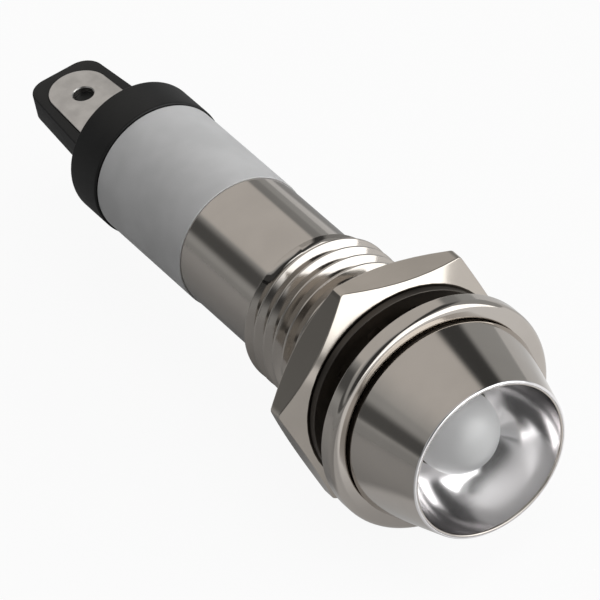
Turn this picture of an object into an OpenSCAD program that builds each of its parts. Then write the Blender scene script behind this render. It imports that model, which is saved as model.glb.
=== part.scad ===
// Panel pilot light: a turned metal housing with a polished cup round a lamp, held in a panel by a
// hex nut, with two solder lugs on an insulating tongue at the rear.
// The axis runs along Y. The head looks towards -Y, and the panel's front face is the plane y = 0.

/* [Head] */
// Outer diameter of the thin rim round the cup
rim_d = 10.2; // [9.6:0.1:11.2]
// Thickness of the rim's edge
rim_wall = 0.25; // [0.2:0.05:0.4]
// How far the head stands out in front of the panel
head_h = 6.2; // [5.6:0.1:7]
// Diameter of the cone where it meets the flange
cone_d = 12.8; // [12:0.1:13.2]
// Diameter of the flange that rests on the panel
flange_d = 14.8; // [14.4:0.1:18]
// Thickness of the flange
flange_t = 1.2; // [0.9:0.1:1.6]
// Radius of the flange's rounded front edge
flange_round = 0.45; // [0.2:0.05:0.6]
// Width of the relief groove at the cone's foot
groove_w = 0.25; // [0.15:0.05:0.4]
// Depth of the relief groove at the cone's foot
groove_d = 0.2; // [0.1:0.05:0.3]

/* [Neck and barrel] */
// Major diameter of the thread
thread_d = 10; // [9.6:0.1:11]
// Pitch of the thread
thread_pitch = 1; // [0.75:0.25:1.25]
// Distance from the panel's face to the end of the thread
thread_len = 12.1; // [9.5:0.1:15]
// Chamfer at the end of the thread
thread_chamfer = 0.1; // [0.05:0.05:0.4]
// Length of the plain land between the flange and the thread
land_len = 0.8; // [0.5:0.1:1]
// Outer diameter of the barrel behind the thread
barrel_d = 8.6; // [8.4:0.1:8.7]
// Wall of the barrel
barrel_wall = 0.6; // [0.4:0.05:0.7]
// Distance from the panel's face to the rear end of the barrel
tube_len = 29.6; // [28:0.1:36]

/* [Nut and lock washer] */
// Distance across the nut's flats
nut_flats = 14; // [13.6:0.1:17]
// Thickness of the nut
nut_t = 2.5; // [2:0.1:3.5]
// Width of the nut's chamfer, measured over a flat
nut_chamfer = 0.4; // [0.2:0.05:0.5]
// Angle that the nut is turned to about the axis
nut_angle = 14; // [0:1:59]
// Distance from the panel's face to the nut, as it is stored on the thread
nut_at = 2.65; // [2.6:0.05:4]
// Outer diameter of the lock washer
washer_d = 13; // [12.6:0.1:14]
// Thickness of the lock washer
washer_t = 0.5; // [0.4:0.05:0.6]
// Number of teeth inside the lock washer
washer_teeth = 12; // [8:1:16]

/* [Lamp] */
// Diameter of the lamp's body
lamp_d = 5; // [4.8:0.1:5.2]
// Height of the lamp from its base to the tip of its dome
lamp_h = 8.6; // [8.2:0.1:9]
// Diameter of the lamp's base flange
lamp_flange_d = 5.8; // [5.6:0.1:6]
// Thickness of the lamp's base flange
lamp_flange_t = 1; // [0.8:0.1:1.2]
// How far the tip of the dome lies behind the rim
lamp_setback = 1; // [0.6:0.1:1.5]
// Distance between the lamp's two leads
lead_pitch = 2.54; // [2.3:0.02:2.8]
// Side of the lamp's square leads
lead_side = 0.5; // [0.4:0.05:0.55]
// Free length of the lamp's leads behind its base
lead_len = 5.6; // [5:0.1:6.5]

/* [Inner parts] */
// Diameter of the round wires on the resistor and the diode
wire_d = 0.5; // [0.4:0.05:0.6]
// Largest diameter of the series resistor
resistor_d = 2.3; // [1.8:0.1:2.4]
// Length of the series resistor
resistor_len = 6.3; // [5:0.1:7]
// Diameter of the diode
diode_d = 1.9; // [1.6:0.1:2.3]
// Length of the diode
diode_len = 4.2; // [3.5:0.1:5]
// Wall of the insulating sleeve that lines the barrel
liner_wall = 0.2; // [0.1:0.05:0.3]
// Thickness of the lamp holder's floor
holder_floor = 1.2; // [0.8:0.1:1.6]

/* [Rear end] */
// Diameter of the rear cap
cap_d = 9; // [8.8:0.1:9.6]
// Thickness of the rear cap behind the barrel
cap_t = 3.1; // [2.4:0.1:4]
// Bevel on the edge of the rear cap
cap_bevel = 0.3; // [0.1:0.05:0.5]
// Length of the cap's plug inside the barrel
plug_len = 4; // [3:0.1:5]
// Length of the tongue behind the cap
tongue_len = 8.5; // [7.6:0.1:10]
// Thickness of the tongue
tongue_t = 1.7; // [1.6:0.1:2]
// Width of the tongue at its end
tongue_w = 4.8; // [4.8:0.1:5.4]
// Radius of the two corners at the tongue's end
tongue_corner = 1.3; // [0.8:0.1:2.4]
// Width of the tongue where it leaves the cap
tongue_root_w = 6.2; // [5.8:0.1:6.8]
// Thickness of a solder lug
lug_t = 0.4; // [0.3:0.05:0.5]
// Width of a solder lug at its rounded end
lug_w = 3.8; // [3.4:0.1:4]
// Width of a solder lug where it leaves the cap
lug_root_w = 4.4; // [4.2:0.1:4.8]
// How far a solder lug stands out of the tongue's face
lug_proud = 0.1; // [0.05:0.05:0.2]
// Diameter of the wire eye in a solder lug
eye_d = 1.3; // [1:0.1:1.5]
// Distance from the end of a solder lug to the middle of its eye
eye_from_end = 2.4; // [2:0.1:3]
// Width of a solder lug's tail inside the cap
tail_w = 2; // [1.6:0.1:2.6]
// Length of a solder lug's tail in front of the plug
tail_len = 2; // [1.6:0.1:2.6]

/* [Label] */
// Length of the label round the barrel
label_len = 9.3; // [8:0.1:13]
// Thickness of the label
label_t = 0.08; // [0.05:0.01:0.15]
// Bare stretch between the label and the rear cap
label_margin = 0.1; // [0.05:0.05:0.5]

/* [Clearances] */
// Radial gap between pieces that slip into each other
slip = 0.05; // [0.03:0.01:0.1]
// Radial running gap between the nut and the thread's crests
nut_slip = 0.05; // [0.03:0.01:0.09]
// Gap between the nut and the lock washer in front of it
washer_gap = 0.03; // [0.02:0.01:0.1]

/* [Hidden] */
$fn = 96;
// a cut runs this far past the face that it opens
past = 1;
// a wire is this much thicker where it bends
bend_swell = 1.12;

// head and neck
rim_r = rim_d / 2;
cone_r = cone_d / 2;
flange_r = flange_d / 2;
thread_r = thread_d / 2;
barrel_r = barrel_d / 2;
bore_r = barrel_r - barrel_wall;
cup_r = rim_r - rim_wall;

// thread form: 60 degree flanks, crest flat of an eighth of the pitch
thread_depth = 0.6134 * thread_pitch;
root_r = thread_r - thread_depth;
flank = thread_depth * tan(30);
crest_flat = thread_pitch / 8;
// the last crest ends in the chamfer, and the others lie in front of it at the pitch
last_crest = thread_len - thread_chamfer - crest_flat - flank;
turns = floor((last_crest - land_len - flank) / thread_pitch);

// lamp: it stands on its base flange, which seats against the step in the housing
lamp_r = lamp_d / 2;
lamp_tip = lamp_setback - head_h;
lamp_base = lamp_tip + lamp_h;
lamp_seat = lamp_base - lamp_flange_t;
lamp_hole_r = lamp_r + 2 * slip;
lead_x = lead_pitch / 2;
lead_end = lamp_base + lead_len;
// the two frames end a little over half way down the lamp
frame_top = lamp_tip + 0.53 * lamp_h;
// height of the anvil, and its reach past the axis towards the post
anvil_h = 1.5;
anvil_reach = 0.62;
// the anvil's flat rim, and its wall round the well
anvil_rim_h = 0.5;
anvil_wall = 0.15;
// the post's slanted head starts this far behind the anvil's top
post_set = 0.35;
post_tip_w = 0.75;
// standing barb on the outer side of each frame, which keys it in the resin
barb = 0.1;
// side of the square chip, and the conical well that it sits in
die = 0.32;
die_well_r = 0.42;
die_well_floor_r = 0.3;
die_well_depth = 0.3;
bond_r = 0.03;
// the bond wire's arch rises this far in front of the frames
bond_arch = 0.5;
// the flat on the lamp's base flange stands this far outside the lamp's body
base_flat_gap = 0.02;

// inner parts, from the front to the rear
holder_r = bore_r - slip;
holder_back = lamp_base + holder_floor;
lead_hole_r = lead_side * 0.9;
tubing_wall = 0.25;
tubing_r = lead_hole_r + tubing_wall;
// the tubing leaves this length of the lead bare for the splice
bare_end = 1;
tubing_back = lead_end - bare_end;
wire_r = wire_d / 2;
// a drop of solder: half its length, its height over the wire and at its ends
splice_half = 0.8;
bead_over = 0.4;
bead_end_over = 0.1;
bead_r = wire_r + bead_over;
// straight wire between a splice and the part behind it
splice_gap = 1.8;
parts_front = lead_end + splice_gap;
resistor_back = parts_front + resistor_len;
diode_back = parts_front + diode_len;
plug_front = tube_len - plug_len;
tail_front = plug_front - tail_len;
liner_r = bore_r - slip;
// a wire leaves its part straight for this length before it bends
straight_exit = 1.2;
// the rear wires come down on the tails between these two distances
tail_wire_gap = 0.4;
tail_wire_lead = 0.6;
wire_end = plug_front - tail_wire_gap;
wire_bend = tail_front - tail_wire_lead;
tail_wire_x = tail_w / 4;

// rear end
cap_r = cap_d / 2;
cap_back = tube_len + cap_t;
plug_r = bore_r - slip;
tongue_end = cap_back + tongue_len;
lug_top = tongue_t / 2 + lug_proud;
lug_bottom = lug_top - lug_t;
// the border of the tongue is this much wider past the lug's end than beside it
end_border = 0.2;
lug_end = tongue_end - (tongue_w - lug_w) / 2 - end_border;
// gap between a lug and its pocket in the tongue
lug_slip = 0.03;
tail_wire_z = lug_top + wire_r;

// label
label_back = tube_len - label_margin;
label_front = label_back - label_len;

// turns what is drawn along Z so that it runs along Y
module along_y() rotate([-90, 0, 0]) children();

// a round rod parallel to the axis, at x and z, from y0 to y1
module rod(x, z, y0, y1, r) translate([x, y0, z]) along_y() cylinder(h = y1 - y0, r = r);

// a flat strip cut from a plan outline in x and y, between two heights
module strip(z0, z1) translate([0, 0, z0]) linear_extrude(z1 - z0) children();

// a straight piece of wire between two points, with a ball at its far end that rounds the bend
module wire_piece(a, b, r) {
    d = b - a;
    translate(a) rotate([0, acos(d.z / norm(d)), atan2(d.y, d.x)]) cylinder(h = norm(d), r = r);
    translate(b) sphere(r = r * bend_swell);
}

// a wire through a row of points
module wire(points, r) {
    for (i = [0 : len(points) - 2]) wire_piece(points[i], points[i + 1], r);
}

// angle by which the side of a tapered tongue leans, so that it meets the end's arc without a corner
function lean(half_w, length, r) = acos(r / norm([half_w, length])) - atan2(length, half_w);

// a flat tongue: it starts at y0, tapers to an end whose corners have the radius r and their middles
// at xc on each side, and lies from z0 to z1; with xc = 0 its end is round
module tongue_plate(root_half, xc, r, y0, y1, z0, z1) {
    yc = y1 - r;
    t = lean(root_half - xc, yc - y0, r);
    for (x = xc > 0 ? [-xc, xc] : [0]) translate([x, yc, z0]) cylinder(h = z1 - z0, r = r);
    strip(z0, z1) polygon(concat(
        [[-root_half, y0], [-xc - r * cos(t), yc + r * sin(t)]],
        xc > 0 ? [[-xc, y1], [xc, y1]] : [],
        [[xc + r * cos(t), yc + r * sin(t)], [root_half, y0]]
    ));
}

// section of the thread: one crest between two roots, counted forwards from the last crest
function crest(i) = let (y = last_crest - i * thread_pitch) [
    [root_r, y],
    [thread_r, y + flank],
    [thread_r, y + flank + crest_flat],
    [root_r, y + 2 * flank + crest_flat]
];

// section of the solid neck and barrel, as radius and distance behind the panel's face
module neck_section() {
    polygon(concat(
        [[0, 0], [thread_r, 0], [thread_r, land_len], [root_r, land_len + flank]],
        [for (i = [turns : -1 : 1]) each crest(i)],
        [
            [root_r, last_crest], [thread_r, last_crest + flank],
            [thread_r, thread_len - thread_chamfer], [thread_r - thread_chamfer, thread_len],
            [barrel_r, thread_len], [barrel_r, tube_len], [0, tube_len]
        ]
    ));
}

// section of the flange, its front edge rounded
module flange_section() {
    translate([0, -flange_t]) square([flange_r - flange_round, flange_t]);
    translate([0, flange_round - flange_t]) square([flange_r, flange_t - flange_round]);
    translate([flange_r - flange_round, flange_round - flange_t]) circle(r = flange_round);
}

// section of the cone, with the relief groove at its foot
module cone_section() {
    foot = -flange_t - groove_w;
    polygon([
        [0, -head_h], [rim_r, -head_h], [cone_r, foot],
        [cone_r - groove_d, foot], [cone_r - groove_d, -flange_t / 2], [0, -flange_t / 2]
    ]);
}

// the turned body: cone, flange, threaded neck and barrel, with the cup, the lamp's hole and the bore
module housing() {
    color([0.72, 0.7, 0.68]) along_y() rotate_extrude() difference() {
        union() {
            neck_section();
            flange_section();
            cone_section();
        }
        translate([0, -head_h]) circle(r = cup_r);
        translate([0, -head_h]) square([lamp_hole_r, head_h + lamp_seat + past]);
        translate([0, lamp_seat]) square([bore_r, tube_len]);
    }
}

// hexagonal nut, chamfered on both faces, with a countersunk bore over the thread's crests
module hex_nut() {
    corner_r = nut_flats / 2 / cos(30);
    face_r = nut_flats / 2 - nut_chamfer;
    // the 30 degree chamfer is cut by a cone that ends outside the corners
    cone_end_r = corner_r + 0.2;
    drop = (cone_end_r - face_r) * tan(30);
    bore = thread_r + nut_slip;
    // countersink on both faces of the bore
    sink = 0.35;
    color([0.78, 0.75, 0.7]) translate([0, nut_at, 0]) along_y() intersection() {
        rotate(nut_angle) cylinder(h = nut_t, r = corner_r, $fn = 6);
        rotate_extrude() polygon([
            [bore + sink, 0], [face_r, 0], [cone_end_r, drop], [cone_end_r, nut_t - drop],
            [face_r, nut_t], [bore + sink, nut_t], [bore, nut_t - sink], [bore, sink]
        ]);
    }
}

// thin lock washer with a ring of teeth round its hole
module lock_washer() {
    hole_r = thread_r + 3 * nut_slip;
    // the teeth are this long, and the slots between them take this share of the ring
    tooth_len = 0.45;
    slot_share = 0.28;
    tooth_root_r = hole_r + tooth_len;
    slot_w = slot_share * 2 * PI * tooth_root_r / washer_teeth;
    color([0.16, 0.15, 0.14]) translate([0, nut_at - washer_gap - washer_t, 0]) along_y()
        difference() {
            cylinder(h = washer_t, r = washer_d / 2);
            translate([0, 0, -past]) cylinder(h = washer_t + 2 * past, r = hole_r);
            for (i = [0 : washer_teeth - 1]) rotate(i * 360 / washer_teeth)
                translate([hole_r - slot_w / 2, -slot_w / 2, -past])
                    cube([tooth_root_r - hole_r + slot_w / 2, slot_w, washer_t + 2 * past]);
        }
}

// plan outlines of the lamp's two frames, in x and y
module anode_plan() {
    top = frame_top + post_set;
    barb_back = top + 0.9;
    inner = lead_x - lead_side / 2;
    outer = lead_x + lead_side / 2;
    polygon([
        [inner, lead_end], [inner, top + post_tip_w], [outer - post_tip_w, top],
        [outer + barb, top], [outer + barb, barb_back - 0.3], [outer, barb_back], [outer, lead_end]
    ]);
}

module cathode_plan() {
    inner = -lead_x + lead_side / 2;
    outer = -lead_x - lead_side / 2;
    polygon([
        [outer, lead_end], [outer, frame_top + anvil_h], [outer - 2 * barb, frame_top + anvil_h / 2],
        [outer - 2 * barb, frame_top], [anvil_reach, frame_top], [anvil_reach, frame_top + anvil_rim_h],
        [inner, frame_top + anvil_h], [inner, lead_end]
    ]);
}

// conical well in the cathode's anvil, where the chip sits
module die_well() {
    translate([0, frame_top, 0]) along_y()
        cylinder(h = die_well_depth, r1 = die_well_r, r2 = die_well_floor_r);
}

module lamp_anode() {
    color([0.75, 0.74, 0.72]) strip(-lead_side / 2, lead_side / 2) anode_plan();
}

module lamp_cathode() {
    // the anvil is wider than the lead, so that the well has a wall round it
    anvil_half = die_well_r + anvil_wall;
    color([0.75, 0.74, 0.72]) difference() {
        union() {
            strip(-lead_side / 2, lead_side / 2) cathode_plan();
            translate([0, frame_top, 0]) along_y() cylinder(h = anvil_rim_h, r = anvil_half);
        }
        die_well();
    }
}

module lamp_chip() {
    floor_y = frame_top + die_well_depth;
    color([0.9, 0.85, 0.5]) translate([-die / 2, floor_y - die, -die / 2]) cube(die);
}

// fine wire from the chip over to the anode's post
module bond_wire() {
    chip_y = frame_top + die_well_depth - die;
    post_y = frame_top + post_set;
    post_x = lead_x + lead_side / 2 - post_tip_w / 2;
    arch_y = frame_top - bond_arch;
    color([0.85, 0.65, 0.3]) difference() {
        wire([
            [0, chip_y, 0], [0.2 * post_x, arch_y, 0], [0.9 * post_x, arch_y, 0], [post_x, post_y, 0]
        ], bond_r);
        translate([-die / 2, chip_y, -die / 2]) cube(die);
        strip(-lead_side / 2, lead_side / 2) anode_plan();
    }
}

// clear body of the lamp: a dome on a cylinder, on a base flange with one flat, cast round the frames
module lamp_lens() {
    flat_x = -lamp_r - base_flat_gap;
    color([0.92, 0.94, 0.96, 0.45]) difference() {
        intersection() {
            along_y() rotate_extrude() intersection() {
                union() {
                    translate([0, lamp_tip + lamp_r]) circle(r = lamp_r);
                    translate([0, lamp_tip + lamp_r]) square([lamp_r, lamp_h - lamp_r]);
                    translate([0, lamp_seat]) square([lamp_flange_d / 2, lamp_flange_t]);
                }
                translate([0, lamp_tip]) square([lamp_flange_d, lamp_h]);
            }
            translate([flat_x, lamp_tip - past, -lamp_flange_d])
                cube([2 * lamp_flange_d, lamp_h + 2 * past, 2 * lamp_flange_d]);
        }
        lamp_anode();
        lamp_cathode();
        lamp_chip();
        bond_wire();
    }
}

// collar that presses the lamp's flange against its seat, with a hole for each lead
module lamp_holder() {
    pocket_r = lamp_flange_d / 2 + slip;
    color([0.12, 0.12, 0.12]) difference() {
        rod(0, 0, lamp_seat + slip, holder_back, holder_r);
        rod(0, 0, lamp_seat - past, lamp_base, pocket_r);
        for (side = [-1, 1]) rod(side * lead_x, 0, lamp_seat, holder_back + past, lead_hole_r);
    }
}

// short insulating tubes over the lamp's leads
module lead_tubing() {
    color([0.85, 0.82, 0.75]) for (side = [-1, 1]) difference() {
        rod(side * lead_x, 0, holder_back, tubing_back, tubing_r);
        rod(side * lead_x, 0, holder_back - past, tubing_back + past, lead_hole_r);
    }
}

// series resistor: a ceramic rod with a cap on each end, under one coat of lacquer
module resistor_body() {
    end_len = 1.3;
    waist = 0.12;
    edge = 0.3;
    big = resistor_d / 2;
    color([0.25, 0.45, 0.6]) translate([lead_x, 0, 0]) along_y() rotate_extrude() polygon([
        [0, parts_front], [big - edge, parts_front], [big, parts_front + edge],
        [big, parts_front + end_len - waist], [big - waist, parts_front + end_len],
        [big - waist, resistor_back - end_len], [big, resistor_back - end_len + waist],
        [big, resistor_back - edge], [big - edge, resistor_back], [0, resistor_back]
    ]);
}

// route of the wire from a part's rear end to the tail of its lug, on side 1 (top) or -1 (bottom)
function tail_route(side, y0) = [
    [side * lead_x, y0, 0],
    [side * lead_x, y0 + straight_exit, 0],
    [side * tail_wire_x, wire_bend, side * tail_wire_z],
    [side * tail_wire_x, wire_end, side * tail_wire_z]
];

module resistor_leads() {
    color([0.78, 0.78, 0.78]) {
        rod(lead_x, 0, lead_end, parts_front, wire_r);
        wire(tail_route(1, resistor_back), wire_r);
    }
}

// protection diode: a small glass rod with rounded ends
module diode_body() {
    round_off = 0.35;
    r = diode_d / 2;
    color([0.75, 0.4, 0.2]) translate([-lead_x, 0, 0]) along_y() rotate_extrude() polygon([
        [0, parts_front], [r - round_off, parts_front], [r, parts_front + round_off],
        [r, diode_back - round_off], [r - round_off, diode_back], [0, diode_back]
    ]);
}

module diode_leads() {
    color([0.78, 0.78, 0.78]) {
        rod(-lead_x, 0, lead_end, parts_front, wire_r);
        wire(tail_route(-1, diode_back), wire_r);
    }
}

// one drop of solder, drawn round the point at y on a wire at x and z
module bead(x, y, z) {
    translate([x, y, z]) along_y() rotate_extrude() polygon([
        [0, -splice_half], [wire_r + bead_end_over, -splice_half], [bead_r, -splice_half / 3],
        [bead_r, splice_half / 3], [wire_r + bead_end_over, splice_half], [0, splice_half]
    ]);
}

// solder at the two splices behind the lamp and on the tails of the two lugs
module solder_joints() {
    tail_y = (tail_front + wire_end) / 2 + splice_half / 4;
    color([0.7, 0.71, 0.72]) for (side = [-1, 1]) {
        difference() {
            bead(side * lead_x, lead_end, 0);
            rod(side * lead_x, 0, lead_end, parts_front, wire_r);
            translate([side * lead_x - lead_side / 2, lamp_base, -lead_side / 2])
                cube([lead_side, lead_len, lead_side]);
        }
        difference() {
            bead(side * tail_wire_x, tail_y, side * tail_wire_z);
            rod(side * tail_wire_x, side * tail_wire_z, wire_bend, wire_end, wire_r);
            translate([side * tail_wire_x, wire_end, side * tail_wire_z]) sphere(r = wire_r * bend_swell);
            translate([-tail_w, tail_y - splice_half - past, side > 0 ? lug_top - 2 : -lug_top])
                cube([2 * tail_w, 2 * splice_half + 2 * past, 2]);
        }
    }
}

// thin sleeve that keeps the wires off the barrel's wall
module insulating_sleeve() {
    color([0.82, 0.8, 0.7]) difference() {
        rod(0, 0, holder_back + slip, plug_front - slip, liner_r);
        rod(0, 0, holder_back - past, plug_front + past, liner_r - liner_wall);
    }
}

// round-ended pad of a lug from z0 to z1, grown by a gap all round
module lug_pad(gap, z0, z1) {
    tongue_plate(lug_root_w / 2 + gap, 0, lug_w / 2 + gap, cap_back, lug_end + gap, z0, z1);
}

// narrower tail of a lug from z0 to z1, grown by a gap on each side and run into the pad
module lug_tail(gap, z0, z1) {
    translate([-tail_w / 2 - gap, tail_front, z0])
        cube([tail_w + 2 * gap, cap_back - tail_front + lug_w / 2, z1 - z0]);
}

// solder lug on the upper face of the tongue, with its wire eye
module lug() {
    difference() {
        union() {
            lug_pad(0, lug_bottom, lug_top);
            lug_tail(0, lug_bottom, lug_top);
        }
        translate([0, lug_end - eye_from_end, lug_bottom - past])
            cylinder(h = lug_t + 2 * past, r = eye_d / 2);
    }
}

module terminal_lug_top() {
    color([0.72, 0.7, 0.69]) lug();
}

module terminal_lug_bottom() {
    color([0.72, 0.7, 0.69]) rotate([0, 180, 0]) lug();
}

// moulded rear cap: a plug in the barrel, a bevelled disc behind it and the tongue for the two lugs
module rear_cap() {
    color([0.07, 0.07, 0.07]) difference() {
        union() {
            along_y() rotate_extrude() polygon([
                [0, plug_front], [plug_r, plug_front], [plug_r, tube_len], [cap_r, tube_len],
                [cap_r, cap_back - cap_bevel], [cap_r - cap_bevel, cap_back], [0, cap_back]
            ]);
            tongue_plate(
                tongue_root_w / 2, tongue_w / 2 - tongue_corner, tongue_corner,
                cap_back - cap_t / 2, tongue_end,
                -tongue_t / 2, tongue_t / 2
            );
        }
        for (flip = [0, 180]) rotate([0, flip, 0]) {
            lug_pad(lug_slip, lug_bottom, lug_top + past);
            lug_tail(lug_slip, lug_bottom, lug_top + lug_slip);
        }
    }
}

// plain label wrapped round the barrel
module label_sleeve() {
    color([0.72, 0.72, 0.73]) difference() {
        rod(0, 0, label_front, label_back, barrel_r + label_t);
        rod(0, 0, label_front - past, label_back + past, barrel_r);
    }
}

housing();
hex_nut();
lock_washer();
lamp_lens();
lamp_anode();
lamp_cathode();
lamp_chip();
bond_wire();
lamp_holder();
lead_tubing();
resistor_body();
resistor_leads();
diode_body();
diode_leads();
solder_joints();
insulating_sleeve();
rear_cap();
terminal_lug_top();
terminal_lug_bottom();
label_sleeve();
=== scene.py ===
"""Dresses the panel pilot light: smooth turned metal, cut thread, lamp, label and solder lugs."""
import logging
import math
from dataclasses import dataclass
from enum import Enum, IntEnum

import bmesh
import bpy
from mathutils import Matrix, Vector


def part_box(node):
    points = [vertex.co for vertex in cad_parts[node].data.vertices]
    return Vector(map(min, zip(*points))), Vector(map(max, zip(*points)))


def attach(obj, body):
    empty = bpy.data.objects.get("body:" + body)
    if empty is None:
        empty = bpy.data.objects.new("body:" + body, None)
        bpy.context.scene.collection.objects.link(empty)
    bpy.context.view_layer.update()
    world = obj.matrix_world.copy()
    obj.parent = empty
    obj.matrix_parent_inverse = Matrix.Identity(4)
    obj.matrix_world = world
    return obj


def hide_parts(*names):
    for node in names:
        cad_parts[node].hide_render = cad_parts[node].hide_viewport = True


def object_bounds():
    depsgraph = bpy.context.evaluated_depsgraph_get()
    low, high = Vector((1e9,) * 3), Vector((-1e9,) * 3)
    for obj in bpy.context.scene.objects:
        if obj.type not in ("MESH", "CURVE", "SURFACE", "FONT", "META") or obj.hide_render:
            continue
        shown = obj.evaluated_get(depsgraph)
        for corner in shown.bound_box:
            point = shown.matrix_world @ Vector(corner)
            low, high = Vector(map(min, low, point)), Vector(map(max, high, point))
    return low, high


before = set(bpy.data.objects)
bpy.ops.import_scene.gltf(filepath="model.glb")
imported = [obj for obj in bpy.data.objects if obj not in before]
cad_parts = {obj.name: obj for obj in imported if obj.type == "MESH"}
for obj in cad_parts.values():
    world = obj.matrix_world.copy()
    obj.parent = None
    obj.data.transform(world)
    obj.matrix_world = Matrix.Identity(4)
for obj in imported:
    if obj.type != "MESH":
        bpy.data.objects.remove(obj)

MM = 0.001
LOG = logging.getLogger("pilot_light")
CAD_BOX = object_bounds()


# ---------------------------------------------------------------- shader maths


class Wire:
    """One output socket of a node tree, on which Python's operators add Math nodes."""

    def __init__(self, graph: "Graph", socket: bpy.types.NodeSocket) -> None:
        """Keeps the socket and the graph that it belongs to.

        Args:
            graph: The graph in which its operators add nodes.
            socket: An output of one of the graph's nodes.
        """
        self.graph = graph
        self.socket = socket

    def _maths(self, operation: str, first: object, second: object = 0.0) -> "Wire":
        """Adds a Math node.

        Args:
            operation: The Math node's operation.
            first: Its first value, a number or a Wire.
            second: Its second value, a number or a Wire.

        Returns:
            The node's result.
        """
        return self.graph.add("ShaderNodeMath", {"operation": operation}, {0: first, 1: second})

    def __add__(self, other: object) -> "Wire":
        """Adds."""
        return self._maths("ADD", self, other)

    def __radd__(self, other: object) -> "Wire":
        """Adds, with the number on the left."""
        return self._maths("ADD", other, self)

    def __sub__(self, other: object) -> "Wire":
        """Subtracts."""
        return self._maths("SUBTRACT", self, other)

    def __rsub__(self, other: object) -> "Wire":
        """Subtracts from a number."""
        return self._maths("SUBTRACT", other, self)

    def __mul__(self, other: object) -> "Wire":
        """Multiplies."""
        return self._maths("MULTIPLY", self, other)

    def __rmul__(self, other: object) -> "Wire":
        """Multiplies, with the number on the left."""
        return self._maths("MULTIPLY", other, self)

    def __truediv__(self, other: object) -> "Wire":
        """Divides."""
        return self._maths("DIVIDE", self, other)

    def ramp(self, low: float, high: float) -> "Wire":
        """Rises smoothly from 0 at low to 1 at high.

        Args:
            low: The value at which the result leaves 0.
            high: The value at which it reaches 1.

        Returns:
            The mask.
        """
        return self.graph.add(
            "ShaderNodeMapRange",
            {"interpolation_type": "SMOOTHSTEP"},
            {"Value": self, "From Min": low, "From Max": high},
        )

    def between(self, low: float, high: float, soft: float) -> "Wire":
        """Is 1 between low and high, and falls to 0 outside them.

        Args:
            low: Where the band starts.
            high: Where it ends.
            soft: Width of the fall on each side.

        Returns:
            The mask.
        """
        return self.ramp(low - soft, low) * (1.0 - self.ramp(high, high + soft))


class Graph:
    """The node tree of one material or world."""

    def __init__(self, tree: bpy.types.NodeTree) -> None:
        """Empties the tree."""
        self.tree = tree
        tree.nodes.clear()

    def add(
        self,
        kind: str,
        settings: dict[str, object] | None = None,
        values: dict[object, object] | None = None,
        output: int | str = 0,
    ) -> Wire:
        """Adds one node.

        Args:
            kind: The node's type.
            settings: Its properties, set first. A ramp's stops are a list of (place, colour).
            values: Numbers, colours or Wires for its inputs, by name or number.
            output: Which of its outputs is returned.

        Returns:
            The chosen output.
        """
        node = self.tree.nodes.new(kind)
        for name, value in (settings or {}).items():
            if name == "stops":
                self._stops(node.color_ramp, value)
            else:
                setattr(node, name, value)
        for name, value in (values or {}).items():
            if isinstance(value, Wire):
                self.tree.links.new(value.socket, node.inputs[name])
            else:
                node.inputs[name].default_value = value
        # a tree's last node has no output, and its result isn't used
        return Wire(self, node.outputs[output] if node.outputs else node.inputs[0])

    @staticmethod
    def _stops(ramp: bpy.types.ColorRamp, stops: list[tuple[float, tuple[float, ...]]]) -> None:
        """Fills a colour ramp.

        Args:
            ramp: The ramp of a node.
            stops: Its stops in order, each a place and a colour.
        """
        while len(ramp.elements) > 1:
            ramp.elements.remove(ramp.elements[-1])
        for i, (place, colour) in enumerate(stops):
            element = ramp.elements[0] if i == 0 else ramp.elements.new(place)
            element.position = place
            element.color = (*colour, 1.0)

    def place(self) -> Wire:
        """Gives the point on the piece, in metres, in the part's own frame."""
        return self.add("ShaderNodeTexCoord", output="Object")

    def axes(self, vector: Wire) -> tuple[Wire, Wire, Wire]:
        """Splits a vector into its X, Y and Z."""
        x = self.add("ShaderNodeSeparateXYZ", values={0: vector})
        return x, Wire(self, x.socket.node.outputs[1]), Wire(self, x.socket.node.outputs[2])

    def scaled(self, vector: Wire, scale: tuple[float, float, float]) -> Wire:
        """Stretches a vector along the axes.

        Args:
            vector: The vector.
            scale: The factor for each axis.

        Returns:
            The stretched vector.
        """
        return self.add("ShaderNodeVectorMath", {"operation": "MULTIPLY"}, {0: vector, 1: scale})

    def noise(self, vector: Wire, scale: float, detail: float = 2.0) -> Wire:
        """Gives a noise from 0 to 1.

        Args:
            vector: The place at which it is read.
            scale: Bumps a metre.
            detail: How many finer layers it has.

        Returns:
            The noise.
        """
        return self.add(
            "ShaderNodeTexNoise",
            values={"Vector": vector, "Scale": scale, "Detail": detail, "Roughness": 0.55},
        )

    def blend(self, mask: object, first: object, second: object) -> Wire:
        """Mixes two colours.

        Args:
            mask: 0 for the first colour, 1 for the second, a number or a Wire.
            first: The first colour, three numbers or a Wire.
            second: The second colour.

        Returns:
            The mixed colour.
        """
        node = self.tree.nodes.new("ShaderNodeMix")
        node.data_type = "RGBA"
        for i, value in ((0, mask), (6, first), (7, second)):
            if isinstance(value, Wire):
                self.tree.links.new(value.socket, node.inputs[i])
            elif i == 0:
                node.inputs[i].default_value = value
            else:
                node.inputs[i].default_value = (*value, 1.0)
        return Wire(self, node.outputs[2])

    def bump(self, height: Wire, depth: float, strength: float = 1.0) -> Wire:
        """Turns a height into a normal.

        Args:
            height: The relief, from 0 to 1.
            depth: What a height of 1 stands for, in metres.
            strength: How much of the relief shows.

        Returns:
            The normal.
        """
        return self.add(
            "ShaderNodeBump", values={"Height": height, "Distance": depth, "Strength": strength}
        )

    def surface(self, values: dict[str, object]) -> None:
        """Ends the tree in a Principled shader with these inputs."""
        shader = self.add("ShaderNodeBsdfPrincipled", values=values)
        self.add("ShaderNodeOutputMaterial", values={"Surface": shader})


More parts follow.
